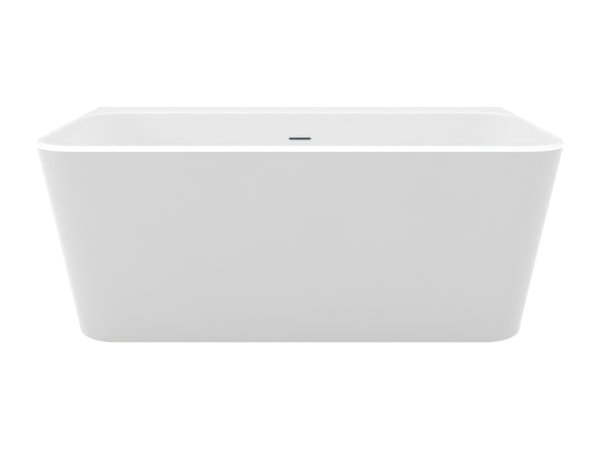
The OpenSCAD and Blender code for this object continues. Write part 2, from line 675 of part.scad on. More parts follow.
// --- levelling feet ---
pad_h = 12;
rod_top = rail_z + foot_travel;
rod_bottom = 5;
module at_foot(k) { translate([foot_at[k - 1].x, foot_at[k - 1].y, 0]) children(); }
module foot_rod(k) {
    color("silver") at_foot(k) translate([0, 0, rod_bottom]) union() {
        cylinder(r = rod_r, h = rod_top - rod_bottom - 1, $fn = 48);
        translate([0, 0, rod_top - rod_bottom - 1]) cylinder(r1 = rod_r, r2 = rod_r - 1, h = 1, $fn = 48);
    }
}
module foot_pad(k) {
    color("dimgray") at_foot(k) rotate_extrude($fn = 72) polygon([[0, 0], [pad_r - 1, 0], [pad_r, 1],
        [pad_r, 4], [rod_r + 6, pad_h - 3], [rod_r + 4, pad_h], [rod_r, pad_h], [rod_r, rod_bottom],
        [0, rod_bottom]]);
}
module foot_lock_nut(k) {
    color("gainsboro") at_foot(k) translate([0, 0, cross_z - nut_h - 9]) hex_nut(6, nut_d, rod_r);
}

basin_shell();
outer_panel();
grp_laminate();
base_board();
ledge_batten();
rear_posts();
panel_batten_front();
panel_batten_left();
panel_batten_right();
frame_rail_front();
frame_rail_rear();
cross_tube_left();
cross_tube_middle();
cross_tube_right();
frame_end_caps();
weld_nuts();
frame_clips();
board_screws();
panel_brackets();
panel_screws();
wall_brackets();
wall_bracket_screws();
waste_flange();
waste_top_seal();
waste_bottom_seal();
waste_back_nut();
plug_cartridge();
plug_spring();
plug_cap();
plug_stem();
plug_seal();
trap_nut();
trap_seal();
trap_body();
trap_cup();
trap_cup_seal();
outlet_nut();
outlet_seal();
outlet_pipe();
outlet_adaptor();
overflow_trim();
overflow_gasket();
overflow_box();
overflow_nut();
overflow_hose();
hose_clip();
for (k = [1:5]) foot_rod(k);
for (k = [1:5]) foot_pad(k);
for (k = [1:5]) foot_lock_nut(k);
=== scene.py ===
"""Looks for a back-to-wall freestanding bathtub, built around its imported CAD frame.

Every length is in metres, in the frame's own axes: +X along the bath, -Y towards its rounded
front, +Y towards the wall, +Z up, with the origin on the floor under the middle of the bath.
"""

import json
import logging
import math
from dataclasses import dataclass, field
from enum import Enum
from typing import Any, Callable, Iterable, Sequence

import bmesh
import bpy
from mathutils import Matrix, Vector, noise

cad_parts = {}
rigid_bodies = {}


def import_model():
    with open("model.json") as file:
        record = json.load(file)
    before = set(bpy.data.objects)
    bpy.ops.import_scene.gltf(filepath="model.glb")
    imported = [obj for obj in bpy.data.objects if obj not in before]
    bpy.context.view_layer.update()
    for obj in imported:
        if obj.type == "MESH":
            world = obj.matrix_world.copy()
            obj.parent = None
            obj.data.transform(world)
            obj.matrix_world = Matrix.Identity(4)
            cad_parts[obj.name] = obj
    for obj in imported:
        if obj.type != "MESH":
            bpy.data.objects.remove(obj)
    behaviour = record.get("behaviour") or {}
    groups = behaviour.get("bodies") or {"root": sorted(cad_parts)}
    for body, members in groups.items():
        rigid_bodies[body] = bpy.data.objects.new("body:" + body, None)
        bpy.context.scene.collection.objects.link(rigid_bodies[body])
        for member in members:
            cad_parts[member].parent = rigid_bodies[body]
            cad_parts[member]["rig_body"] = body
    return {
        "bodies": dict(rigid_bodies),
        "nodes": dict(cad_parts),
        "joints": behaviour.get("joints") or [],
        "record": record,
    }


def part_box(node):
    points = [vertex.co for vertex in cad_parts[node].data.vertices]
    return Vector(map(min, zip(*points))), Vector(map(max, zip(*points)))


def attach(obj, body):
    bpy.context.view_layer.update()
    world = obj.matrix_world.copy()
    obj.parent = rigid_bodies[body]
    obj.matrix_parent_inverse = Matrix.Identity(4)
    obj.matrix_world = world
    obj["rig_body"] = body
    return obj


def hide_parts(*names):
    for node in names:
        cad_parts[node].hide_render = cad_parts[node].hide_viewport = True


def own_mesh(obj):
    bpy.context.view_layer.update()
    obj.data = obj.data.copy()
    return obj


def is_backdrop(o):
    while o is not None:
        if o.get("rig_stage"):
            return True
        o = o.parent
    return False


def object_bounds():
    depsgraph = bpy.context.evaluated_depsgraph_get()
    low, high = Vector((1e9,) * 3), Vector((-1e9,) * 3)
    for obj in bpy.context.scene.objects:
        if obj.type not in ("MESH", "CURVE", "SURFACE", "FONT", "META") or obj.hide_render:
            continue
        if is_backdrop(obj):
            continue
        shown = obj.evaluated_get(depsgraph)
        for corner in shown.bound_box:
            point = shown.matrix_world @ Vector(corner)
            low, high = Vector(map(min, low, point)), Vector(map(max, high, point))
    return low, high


LOG = logging.getLogger("bathtub")
MM = 0.001
SAME_POINT = 0.002 * MM
FLAT_DEGREES = 0.08
EDGE_DEGREES = 40
FEET = 5

Ring = list[Vector]
Settings = dict[Any, Any]
Obj = bpy.types.Object
Tree = bpy.types.NodeTree
Pattern = tuple[Any, Any, Any, float]
Profile = Sequence[tuple[float, float]]


class Body(Enum):
    """The CAD bodies that pieces ride on."""

    TUB = "tub"
    PLUG = "plug"


# ---------------------------------------------------------------- colours and nodes


def linear(code: str) -> tuple[float, float, float, float]:
    """Turns an sRGB hex colour into the linear colour a shader takes.

    Args:
        code: Six hex digits, such as "f2f2f0".

    Returns:
        Linear red, green and blue, and an alpha of 1.
    """
    parts = [int(code[i : i + 2], 16) / 255 for i in (0, 2, 4)]
    toned = [c / 12.92 if c <= 0.04045 else ((c + 0.055) / 1.055) ** 2.4 for c in parts]
    return (toned[0], toned[1], toned[2], 1.0)


def add_node(tree: Tree, kind: str, settings: Settings, links: Settings) -> bpy.types.Node:
    """Adds one node with its settings and the links into its inputs.

    Args:
        tree: The node tree to add to.
        kind: Blender's name for the node type.
        settings: Input names or indices, or the node's own attributes, with their values.
        links: Input names or indices, each with the output socket that feeds it.

    Returns:
        The new node.
    """
    node = tree.nodes.new(kind)
    for key, value in settings.items():
        if isinstance(key, str) and hasattr(node, key):
            setattr(node, key, value)
        else:
            node.inputs[key].default_value = value
    for key, socket in links.items():
        tree.links.new(socket, node.inputs[key])
    return node


def map_range(
    tree: Tree,
    value: Any,
    low: float,
    high: float,
    ends: tuple[float, float] = (0.0, 1.0),
    kind: str = "LINEAR",
) -> Any:
    """Maps the part of a value between low and high onto the range between two ends.

    Args:
        tree: The node tree to add to.
        value: The value's socket.
        low: Where the first end is reached.
        high: Where the second end is reached.
        ends: The two ends.
        kind: Blender's name for the way from one end to the other.

    Returns:
        The mapped value's socket.
    """
    settings = {"interpolation_type": kind, 1: low, 2: high, 3: ends[0], 4: ends[1]}
    return add_node(tree, "ShaderNodeMapRange", settings, {0: value}).outputs[0]


@dataclass(frozen=True)
class Finish:
    """A surface finish: a Principled shader whose colour, roughness and bump come from nodes."""

    name: str
    slot: str
    base: str
    shade: str
    roughness: float
    roughness_spread: float = 0.05
    metallic: float = 0.0
    ior: float | None = None

    def material(self) -> bpy.types.Material:
        """Makes the material, or returns the one already made."""
        known = bpy.data.materials.get(self.name)
        if known:
            return known
        made = bpy.data.materials.new(self.name)
        made.use_nodes = True
        tree = made.node_tree
        shader = tree.nodes["Principled BSDF"]
        shader.inputs["Metallic"].default_value = self.metallic
        if self.ior is not None:
            shader.inputs["IOR"].default_value = self.ior
        place = add_node(tree, "ShaderNodeTexCoord", {}, {}).outputs["Object"]
        colour, rough, height, depth = self.pattern(tree, place)
        mixed = add_node(
            tree,
            "ShaderNodeMix",
            {"data_type": "RGBA", 6: linear(self.base), 7: linear(self.shade)},
            {0: colour},
        )
        tree.links.new(mixed.outputs[2], shader.inputs["Base Color"])
        ends = (max(0.02, self.roughness - self.roughness_spread), self.roughness + self.roughness_spread)
        tree.links.new(map_range(tree, rough, 0.0, 1.0, ends), shader.inputs["Roughness"])
        bump = add_node(tree, "ShaderNodeBump", {"Strength": 1.0, "Distance": depth}, {"Height": height})
        tree.links.new(bump.outputs[0], shader.inputs["Normal"])
        self.dress_shader(shader)
        return made

    def pattern(self, tree: Tree, place: Any) -> Pattern:
        """Builds the pattern that the finish shows.

        Args:
            tree: The material's nodes.
            place: The object-space position, in metres.

        Returns:
            Sockets for the share of the shade colour, the roughness and the height, each 0 to 1,
            and the depth of the height in metres.
        """
        cloud = self.mottle(tree, place, 60 * MM, 3)
        grain = self.mottle(tree, place, 1.5 * MM, 2)
        return cloud, cloud, grain, 0.01 * MM

    def dress_shader(self, shader: bpy.types.Node) -> None:
        """Sets the shader's constant sockets beyond the usual ones."""

    @staticmethod
    def mottle(
        tree: Tree,
        place: Any,
        size: float,
        detail: float,
        stretch: Sequence[float] = (1, 1, 1),
        distortion: float = 0.0,
    ) -> Any:
        """Lays blotches of a real size over the surface, drawn out along the axes as asked.

        Args:
            tree: The material's nodes.
            place: The position socket.
            size: Width of a blotch in metres.
            detail: Octaves of finer noise.
            stretch: How many times longer a blotch is along each axis.
            distortion: How far the blotches are bent.

        Returns:
            The socket of a value from 0 to 1.
        """
        drawn = add_node(tree, "ShaderNodeMapping", {"Scale": tuple(1 / s for s in stretch)}, {"Vector": place})
        grain = {"Scale": 1 / size, "Detail": detail, "Distortion": distortion}
        return add_node(tree, "ShaderNodeTexNoise", grain, {"Vector": drawn.outputs[0]}).outputs[0]


@dataclass(frozen=True)
class SanitaryAcrylic(Finish):
    """Cast acrylic sheet, vacuum-formed: a deep even gloss over very slight sheet ripple."""

    def pattern(self, tree: Tree, place: Any) -> Pattern:
        """Broad soft ripple from forming, and wipe marks that only the gloss shows."""
        ripple = self.mottle(tree, place, 220 * MM, 1)
        wiped = self.mottle(tree, place, 35 * MM, 4, (3, 1, 1), 0.6)
        return ripple, wiped, ripple, 0.25 * MM

    def dress_shader(self, shader: bpy.types.Node) -> None:
        """A clear gloss skin, as the cast sheet keeps after forming."""
        shader.inputs["Coat Weight"].default_value = 0.1
        shader.inputs["Coat Roughness"].default_value = 0.04


@dataclass(frozen=True)
class ChoppedGlassLaminate(Finish):
    """Polyester resin sprayed with chopped glass: honey-coloured, with pale strands every way."""

    def pattern(self, tree: Tree, place: Any) -> Pattern:
        """Strands about 2 mm wide and 35 mm long, lying every way over cloudy resin."""
        strands = None
        for swing, tip in ((0.45, 0), (-0.85, 0), (1.45, 0.08), (1.57, -0.75)):
            turned = add_node(tree, "ShaderNodeMapping", {"Rotation": (0, swing, tip)}, {"Vector": place})
            lines = self.mottle(tree, turned.outputs[0], 1.8 * MM, 1, (20, 1, 1), 0.25)
            sharp = map_range(tree, lines, 0.54, 0.66)
            if strands is None:
                strands = sharp
            else:
                both = {0: strands, 1: sharp}
                strands = add_node(tree, "ShaderNodeMath", {"operation": "MAXIMUM"}, both).outputs[0]
        resin = self.mottle(tree, place, 45 * MM, 3)
        mixed = add_node(tree, "ShaderNodeMix", {0: 0.6}, {2: resin, 3: strands}).outputs[0]
        return mixed, resin, strands, 0.35 * MM


@dataclass(frozen=True)
class Chipboard(Finish):
    """Resin-sealed chipboard: pressed flakes of 3 to 8 mm in mixed browns."""

    def pattern(self, tree: Tree, place: Any) -> Pattern:
        """Flat flakes, each with its own shade."""
        bent = add_node(tree, "ShaderNodeMapping", {"Scale": (1, 1.8, 3)}, {"Vector": place})
        flakes = add_node(tree, "ShaderNodeTexVoronoi", {"Scale": 1 / (6 * MM)}, {"Vector": bent.outputs[0]})
        grey = add_node(tree, "ShaderNodeRGBToBW", {}, {0: flakes.outputs["Color"]}).outputs[0]
        return grey, grey, flakes.outputs["Distance"], 0.15 * MM


@dataclass(frozen=True)
class Softwood(Finish):
    """Planed pine batten: long darker growth bands 3 to 5 mm apart, with a fine sawn grain."""

    along: tuple[float, float, float] = (30, 1, 1)

    def pattern(self, tree: Tree, place: Any) -> Pattern:
        """Growth bands and fibres, drawn out along the batten."""
        bands = self.mottle(tree, place, 5 * MM, 2, self.along, 0.8)
        fibres = self.mottle(tree, place, 0.9 * MM, 2, tuple(2 * a for a in self.along))
        return map_range(tree, bands, 0.4, 0.68), fibres, fibres, 0.06 * MM


@dataclass(frozen=True)
class GalvanisedSteel(Finish):
    """Hot-dip zinc on steel: grey spangle of 6 to 12 mm crystals, each with its own sheen."""

    def pattern(self, tree: Tree, place: Any) -> Pattern:
        """Zinc crystals, broken at their edges."""
        crystal = add_node(tree, "ShaderNodeTexVoronoi", {"Scale": 1 / (9 * MM)}, {"Vector": place})
        tone = add_node(tree, "ShaderNodeRGBToBW", {}, {0: crystal.outputs["Color"]}).outputs[0]
        cloud = self.mottle(tree, place, 3 * MM, 3)
        mixed = add_node(tree, "ShaderNodeMix", {0: 0.35}, {2: tone, 3: cloud}).outputs[0]
        return mixed, tone, cloud, 0.02 * MM


@dataclass(frozen=True)
class TurnedMetal(Finish):
    """Bright metal, turned or drawn and then plated: mirror-like, with hairline polish marks."""

    mark: float = 0.5 * MM

    def pattern(self, tree: Tree, place: Any) -> Pattern:
        """Hairlines and faint handling haze."""
        lines = self.mottle(tree, place, self.mark, 2, (6, 6, 1))
        haze = self.mottle(tree, place, 14 * MM, 3)
        return haze, haze, lines, 0.002 * MM


@dataclass(frozen=True)
class MouldedPlastic(Finish):
    """Injection-moulded plastic: satin, with the fine texture of a spark-eroded mould."""

    texture: float = 0.7 * MM
    depth: float = 0.012 * MM

    def pattern(self, tree: Tree, place: Any) -> Pattern:
        """Mould texture, with faint flow clouds in the colour."""
        cloud = self.mottle(tree, place, 25 * MM, 2)
        skin = self.mottle(tree, place, self.texture, 2)
        return cloud, cloud, skin, self.depth


@dataclass(frozen=True)
class StudioFloor(Finish):
    """Opal shooting-table floor, lit a little from below so that shadows on it stay faint."""

    glow: float = 0.3

    def dress_shader(self, shader: bpy.types.Node) -> None:
        """The light that comes up through the opal sheet."""
        shader.inputs["Emission Color"].default_value = linear("ffffff")
        shader.inputs["Emission Strength"].default_value = self.glow


# The same white sheet twice, with painted light and shade in its colour: the basin's copy is painted brighter, as
# if lit from above, and the panel, out of the light from above, takes a copy painted greyer for the shade it
# stands in
BASIN_ACRYLIC_PAINTED_LIGHT = SanitaryAcrylic("formed_basin_acrylic_painted_light", "white_acrylic", "f9f9f9", "f7f7f7", 0.14, 0.03, ior=1.49)
PANEL_ACRYLIC_PAINTED_SHADE = SanitaryAcrylic("formed_panel_acrylic_painted_shade", "white_acrylic", "cacaca", "c8c8c8", 0.16, 0.03, ior=1.49)
LAMINATE = ChoppedGlassLaminate(
    "sprayed_glass_polyester", "glass_laminate", "c2ab78", "e3dcc0", 0.42, 0.12, ior=1.54
)
CHIPBOARD = Chipboard("sealed_chipboard", "chipboard", "b98f5c", "8c6538", 0.55, 0.08)
WOOD_X = Softwood("planed_pine_lengthwise", "softwood", "dcb886", "b98b54", 0.6, 0.06)
WOOD_Y = Softwood("planed_pine_crosswise", "softwood", "dcb886", "b98b54", 0.6, 0.06, along=(1, 30, 1))
WOOD_Z = Softwood("planed_pine_upright", "softwood", "dcb886", "b98b54", 0.6, 0.06, along=(1, 1, 30))
GALVANISED = GalvanisedSteel("hot_dip_galvanised_steel", "galvanised_steel", "b4b8ba", "8f9496", 0.38, 0.1, 0.9)
# Roughness tells these three apart: zinc plate shines softly, chrome mirrors the room, wire glints
ZINC = TurnedMetal("zinc_plated_steel", "zinc_plated_steel", "c9cac6", "a9aaa4", 0.28, 0.08, 1.0)
CHROME = TurnedMetal("polished_chrome_plate", "chromed_brass", "c6c9cc", "b9bdc1", 0.06, 0.03, 1.0)
WIRE = TurnedMetal("drawn_stainless_wire", "spring_steel", "a8a8a6", "858583", 0.25, 0.05, 1.0)
# Satin fittings against the glossier waste pipe
POLYPROPYLENE = MouldedPlastic(
    "moulded_polypropylene", "white_polypropylene", "ebebe7", "dededa", 0.38, 0.06, ior=1.49
)
PVC = MouldedPlastic("extruded_pvc_pipe", "white_pvc", "efefec", "e4e4e0", 0.22, 0.04, ior=1.53)
BLACK_PLASTIC = MouldedPlastic(
    "moulded_polyethylene", "black_polyethylene", "1c1c1d", "262627", 0.5, 0.06, ior=1.51
)
RUBBER = MouldedPlastic(
    "moulded_epdm_rubber",
    "black_rubber",
    "161616",
    "232323",
    0.72,
    0.08,
    ior=1.52,
    texture=0.9 * MM,
    depth=0.05 * MM,
)
FLOOR = StudioFloor("opal_floor_sheet", "", "fbfbfb", "f9f9f9", 0.9, 0.02)


# ---------------------------------------------------------------- making pieces


def place_piece(
    obj: Obj, finish: Finish, body: str, replaced: Iterable[str] = (), sharp: float = 35.0
) -> Obj:
    """Shades and dresses a piece, and ties it to its CAD body.

    Args:
        obj: The piece.
        finish: Its finish.
        body: The CAD body it rides on.
        replaced: CAD nodes that it stands for.
        sharp: Edges bent by more than this many degrees stay sharp.

    Returns:
        The same piece.
    """
    settle(obj, sharp)
    obj.data.materials.clear()
    obj.data.materials.append(finish.material())
    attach(obj, body)
    if replaced:
        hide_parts(*replaced)
    LOG.info("%s: %d faces on %s", obj.name, len(obj.data.polygons), body)
    return obj


def mesh_object(name: str, points: Sequence[Vector], faces: Sequence[Sequence[int]]) -> Obj:
    """Makes an object in the scene from points and faces.

    Args:
        name: The object's name.
        points: Its vertices.
        faces: Its faces, as indices of vertices.

    Returns:
        The new object.
    """
    mesh = bpy.data.meshes.new(name)
    mesh.from_pydata([tuple(p) for p in points], [], [tuple(f) for f in faces])
    mesh.update()
    obj = bpy.data.objects.new(name, mesh)
    bpy.context.scene.collection.objects.link(obj)
    return obj


def settle(obj: Obj, sharp: float) -> None:
    """Applies an object's modifiers and shades it smooth, with flat faces kept flat.

    Args:
        obj: The piece.
        sharp: Edges bent by more than this many degrees stay sharp.
    """
    if obj.modifiers:
        swap_mesh(obj)
    face_out(obj)
    obj.data.polygons.foreach_set("use_smooth", [True] * len(obj.data.polygons))
    obj.data.set_sharp_from_angle(angle=math.radians(sharp))
    weights = obj.modifiers.new("flat faces lead", "WEIGHTED_NORMAL")
    weights.keep_sharp = True
    swap_mesh(obj)


def face_out(obj: Obj) -> None:
    """Turns all of an object's faces outward."""
    work = bmesh.new()
    work.from_mesh(obj.data)
    bmesh.ops.recalc_face_normals(work, faces=work.faces)
    work.to_mesh(obj.data)
    work.free()


def swap_mesh(obj: Obj) -> None:
    """Replaces an object's mesh with the one its modifiers make."""
    bpy.context.view_layer.update()
    made = bpy.data.meshes.new_from_object(obj.evaluated_get(bpy.context.evaluated_depsgraph_get()))
    obj.modifiers.clear()
    obj.data = made


def cut(obj: Obj, cutter: Obj) -> None:
    """Cuts one object out of another and throws the cutter away.

    Args:
        obj: The piece that is cut.
        cutter: The solid that is taken away.
    """
    step = obj.modifiers.new("cut", "BOOLEAN")
    step.operation = "DIFFERENCE"
    step.solver = "EXACT"
    step.object = cutter
    swap_mesh(obj)
    bpy.data.objects.remove(cutter)


def loft(name: str, rings: Sequence[Ring], join_ends: bool = False, closed: bool = True) -> Obj:
    """Skins a row of rings with the same number of points.

    Args:
        name: The new object's name.
        rings: The rings, in order.
        join_ends: Join the last ring to the first, as in a torus; otherwise cap both ends.
        closed: Each ring is a closed loop; otherwise it is an open path.

    Returns:
        The new object.
    """
    n, m = len(rings[0]), len(rings)
    faces: list[list[int]] = []
    for i in range(m if join_ends else m - 1):
        k = (i + 1) % m
        for j in range(n if closed else n - 1):
            q = (j + 1) % n
            faces.append([i * n + j, i * n + q, k * n + q, k * n + j])
    if not join_ends:
        faces.append(list(range(n))[::-1])
        faces.append([(m - 1) * n + j for j in range(n)])
    if not closed:
        faces.append([i * n for i in range(m)])
        faces.append([i * n + n - 1 for i in range(m)][::-1])
    return mesh_object(name, [p for ring in rings for p in ring], faces)


def lathe(name: str, profile: Profile, centre: Vector, sides: int = 96) -> Obj:
    """Turns a closed profile round an upright axis.

    Args:
        name: The new object's name.
        profile: Radius and height of each point, in metres. Points on the axis become a pole.
        centre: Where the axis stands.
        sides: Facets round the axis.

    Returns:
        The new object.
    """
    points: list[Vector] = []
    rows: list[list[int]] = []
    for r, z in profile:
        if r < 1e-7:
            points.append(centre + Vector((0, 0, z)))
            rows.append([len(points) - 1] * sides)
            continue
        rows.append(list(range(len(points), len(points) + sides)))
        for k in range(sides):
            points.append(centre + polar(r, math.tau * k / sides, z))
    faces: list[list[int]] = []
    for i, row in enumerate(rows):
        above = rows[(i + 1) % len(rows)]
        for k in range(sides):
            q = (k + 1) % sides
            corners = list(dict.fromkeys([row[k], row[q], above[q], above[k]]))
            if len(corners) > 2:
                faces.append(corners)
    return mesh_object(name, points, faces)


def rounded(profile: Profile, radius: float, steps: int = 4) -> list[tuple[float, float]]:
    """Rounds the corners of a closed profile that don't touch the axis.

    Args:
        profile: The profile's corners.
        radius: The rounding, made smaller where an edge is short.
        steps: Points along each rounding.

    Returns:
        The rounded profile.
    """
    out: list[tuple[float, float]] = []
    count = len(profile)
    for i in range(count):
        before, here, after = (Vector(profile[(i + d) % count]) for d in (-1, 0, 1))
        if here.x < 1e-7:
            out.append((here.x, here.y))
            continue
        r = min(radius, (before - here).length * 0.45, (after - here).length * 0.45)
        start, end = here + (before - here).normalized() * r, here + (after - here).normalized() * r
        for s in range(steps + 1):
            t = s / steps
            point = start * (1 - t) ** 2 + here * 2 * t * (1 - t) + end * t**2
            out.append((point.x, point.y))
    return out


def soften(finish: Finish, edge: float, *nodes: str) -> None:
    """Shows copies of CAD nodes in the nodes' places, with worn or moulded edges.

    Args:
        finish: The finish of the pieces.
        edge: The rounding of their edges, in metres.
        nodes: The CAD nodes.
    """
    for node in nodes:
        source = _FRAME["nodes"][node]
        obj = bpy.data.objects.new(node + "_finished", source.data.copy())
        bpy.context.scene.collection.objects.link(obj)
        work = bmesh.new()
        work.from_mesh(obj.data)
        bmesh.ops.remove_doubles(work, verts=work.verts, dist=SAME_POINT)
        flat = {"angle_limit": math.radians(FLAT_DEGREES), "delimit": {"NORMAL"}}
        bmesh.ops.dissolve_limit(work, verts=work.verts, edges=work.edges, **flat)
        work.to_mesh(obj.data)
        work.free()
        bevel = obj.modifiers.new("edges", "BEVEL")
        bevel.width = edge
        bevel.segments = 2
        bevel.limit_method = "ANGLE"
        bevel.angle_limit = math.radians(EDGE_DEGREES)
        place_piece(obj, finish, source["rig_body"], [node])


def polar(r: float, angle: float, z: float = 0.0) -> Vector:
    """The point at a radius and an angle round the upright axis, at a height."""
    return Vector((r * math.cos(angle), r * math.sin(angle), z))


def blocks(name: str, pairs: Iterable[tuple[Ring, Ring]]) -> Obj:
    """Makes one object of six-sided blocks.

    Args:
        name: The new object's name.
        pairs: Two opposite four-sided faces for each block.

    Returns:
        The new object.
    """
    points: list[Vector] = []
    faces: list[list[int]] = []
    for near, far in pairs:
        base = len(points)
        points += near + far
        faces += [[base + i for i in (3, 2, 1, 0)], [base + i for i in (4, 5, 6, 7)]]
        faces += [[base + i, base + (i + 1) % 4, base + 4 + (i + 1) % 4, base + 4 + i] for i in range(4)]
    return mesh_object(name, points, faces)


def stand(node: str, axis: Vector | None = None) -> tuple[Vector, float, float]:
    """Measures a round CAD node that stands upright.

    Args:
        node: The CAD node.
        axis: A point on its axis, if that is known better than from the node's box.

    Returns:
        The middle of its foot, its radius and its height.
    """
    low, high = (Vector(c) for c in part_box(node))
    middle = (low + high) / 2 if axis is None else axis
    return Vector((middle.x, middle.y, low.z)), (high.x - low.x) / 2, high.z - low.z


_FRAME: dict[str, Any] = {}


# ---------------------------------------------------------------- the bath's shape


@dataclass
class BathShape:
    """The curves that the acrylic shells share."""

    low: Vector
    high: Vector
    corner_r: float = 142 * MM
    rear_corner_r: float = 120 * MM
    back_corner_r: float = 3 * MM
    lip_r: float = 11 * MM
    lip_in_r: float = 8 * MM
    rim_w: float = 23 * MM
    ledge_w: float = 145 * MM
    front_inset: float = 34 * MM
    end_inset: float = 57 * MM
    floor_gap: float = 3 * MM
    end_slope: float = math.radians(22)
    side_slope: float = math.radians(6)
    floor_z: float = 160 * MM
    fillet: float = 85 * MM
    sheet: float = 5 * MM
    laminate: float = 3 * MM
    seam_drop: float = 3 * MM
    corner_steps: int = 28

    @property
    def half(self) -> float:
        """Half the bath's length."""
        return (self.high.x - self.low.x) / 2

    @property
    def lip_z(self) -> float:
        """Height where the rim's rounding begins."""
        return self.high.z - self.lip_r

    @property
    def seam_z(self) -> float:
        """Height of the joint between the basin's lip and the outer panel."""
        return self.lip_z - self.seam_drop

    @property
    def roll_z(self) -> float:
        """Height of the centre of the roll into the basin."""
        return self.high.z - self.lip_in_r

    @property
    def fillet_z(self) -> float:
        """Height of the centre of the fillet round the basin floor."""
        return self.floor_z + self.fillet

    def ring(self, hx: float, yf: float, yb: float, rf: float, rb: float, z: float, fill: int = 0) -> Ring:
        """A level rounded rectangle, counter-clockwise from the right end of the wall side.

        Args:
            hx: Half its length.
            yf: Its front.
            yb: Its back.
            rf: Radius of its front corners.
            rb: Radius of its back corners.
            z: Its height.
            fill: Extra points along each straight side.

        Returns:
            The ring's points.
        """
        corners = (
            (hx - rb, yb - rb, rb, 0),
            (rb - hx, yb - rb, rb, 90),
            (rf - hx, yf + rf, rf, 180),
            (hx - rf, yf + rf, rf, 270),
        )
        out: Ring = []
        for cx, cy, r, start in corners:
            for i in range(self.corner_steps + 1):
                a = math.radians(start + 90 * i / self.corner_steps)
                out.append(Vector((cx + r * math.cos(a), cy + r * math.sin(a), z)))
        if not fill:
            return out
        filled: Ring = []
        per = self.corner_steps + 1
        for c in range(4):
            filled += out[c * per : (c + 1) * per]
            a, b = filled[-1], out[(c + 1) * per % len(out)]
            filled += [a.lerp(b, (k + 1) / (fill + 1)) for k in range(fill)]
        return filled

    def wall_u(self, z: float, slope: float, start: float, off: float) -> float:
        """Distance inward from the rim's outer edge to a basin wall.

        Args:
            z: The height.
            slope: The wall's lean from upright, in radians.
            start: Where the roll begins.
            off: Distance behind the wet face.

        Returns:
            The distance in metres.
        """
        roll, fillet = self.lip_in_r - off, self.fillet + off
        roll_end = self.roll_z + roll * math.sin(slope)
        wall_end = self.fillet_z - fillet * math.sin(slope)
        if z >= roll_end:
            return start + math.sqrt(max(0.0, roll**2 - (z - self.roll_z) ** 2))
        if z > wall_end:
            return start + roll * math.cos(slope) + (roll_end - z) * math.tan(slope)
        wet_top = self.roll_z + self.lip_in_r * math.sin(slope)
        wet_end = self.fillet_z - self.fillet * math.sin(slope)
        centre = start + (self.lip_in_r + self.fillet) * math.cos(slope) + (wet_top - wet_end) * math.tan(slope)
        return centre - math.sqrt(max(0.0, fillet**2 - (self.fillet_z - z) ** 2))

    def basin_ring(self, z: float, off: float, fill: int = 0) -> Ring:
        """The basin's outline at a height, a distance behind the wet face."""
        edge, ledge = self.rim_w - self.lip_in_r, self.ledge_w - self.lip_in_r
        front = self.wall_u(z, self.side_slope, edge, off)
        back = self.wall_u(z, self.side_slope, ledge, off)
        ends = self.wall_u(z, self.end_slope, edge, off)
        roll = min(front - edge, (self.lip_in_r - off) * math.cos(self.side_slope))
        front_r, rear_r = self.corner_r - edge - roll, self.rear_corner_r + self.lip_in_r - roll
        return self.ring(self.half - ends, self.low.y + front, self.high.y - back, front_r, rear_r, z, fill)

    def lip_ring(self, inset: float, z: float) -> Ring:
        """The outline of the rim, set in by some distance."""
        front, back = self.low.y + inset, self.high.y - inset
        return self.ring(self.half - inset, front, back, self.corner_r - inset, self.back_corner_r, z)

    def slopes(self, top: float, count: int) -> list[float]:
        """Tangent angles from level to the steeper wall, with both walls' own angles among them."""
        even = [top * (1 - i / count) for i in range(count)]
        return sorted({a for a in even if a > self.side_slope} | {self.end_slope, self.side_slope}, reverse=True)

    def fillet_rings(self, off: float, fill: int = 0) -> list[Ring]:
        """Rings from the edge of the basin floor up to the foot of the walls."""
        r = self.fillet + off
        return [self.basin_ring(self.fillet_z - r * math.sin(a), off, fill) for a in self.slopes(math.pi / 2, 18)]

    def roll_rings(self, off: float) -> list[Ring]:
        """Rings from the top of the walls up over the roll."""
        r = self.lip_in_r - off
        return [self.basin_ring(self.roll_z + r * math.sin(a), off) for a in self.slopes(math.pi / 2, 8)[::-1]]

    def lip_rings(self, off: float, edge: float) -> list[Ring]:
        """Rings from the top of the rim out and down to the seam, with a small edge at the seam."""
        r = self.lip_r - off
        turned = [math.radians(90 - 7.5 * i) for i in range(13)]
        rings = [self.lip_ring(self.lip_r - r * math.cos(a), self.lip_z + r * math.sin(a)) for a in turned]
        inward = edge if off == 0 else -edge
        for share, rise in ((0.0, edge), (0.3, 0.3 * edge), (1.0, 0.0)):
            rings.append(self.lip_ring(off + share * inward, self.seam_z + rise))
        return rings

    def lean(self, z: float) -> float:
        """Share of the outer panel's inset at a height."""
        return (self.lip_z - z) / self.lip_z

    def panel_path(self, z: float, off: float) -> Ring:
        """The outer panel's open outline at a height, from the wall round the front and back.

        Args:
            z: The height.
            off: Distance behind the outer face.

        Returns:
            The path's points.
        """
        hx = self.half - self.end_inset * self.lean(z) - off
        yf = self.low.y + self.front_inset * self.lean(z) + off
        r = self.corner_r - off
        out = [Vector((-hx, self.high.y, z))]
        for cx, start in ((r - hx, 180), (hx - r, 270)):
            for i in range(self.corner_steps + 1):
                a = math.radians(start + 90 * i / self.corner_steps)
                out.append(Vector((cx + r * math.cos(a), yf + r + r * math.sin(a), z)))
        out.append(Vector((hx, self.high.y, z)))
        return out

    @property
    def waste(self) -> Vector:
        """The middle of the waste, at floor level of the room."""
        edge, ledge = self.rim_w - self.lip_in_r, self.ledge_w - self.lip_in_r
        front = self.low.y + self.wall_u(self.floor_z, self.side_slope, edge, 0)
        back = self.high.y - self.wall_u(self.floor_z, self.side_slope, ledge, 0)
        return Vector((0, (front + back) / 2, 0))

    def rear_dry_y(self, z: float) -> float:
        """Where the dry face of the rear basin wall is at a height."""
        return self.high.y - self.wall_u(z, self.side_slope, self.ledge_w - self.lip_in_r, self.sheet)


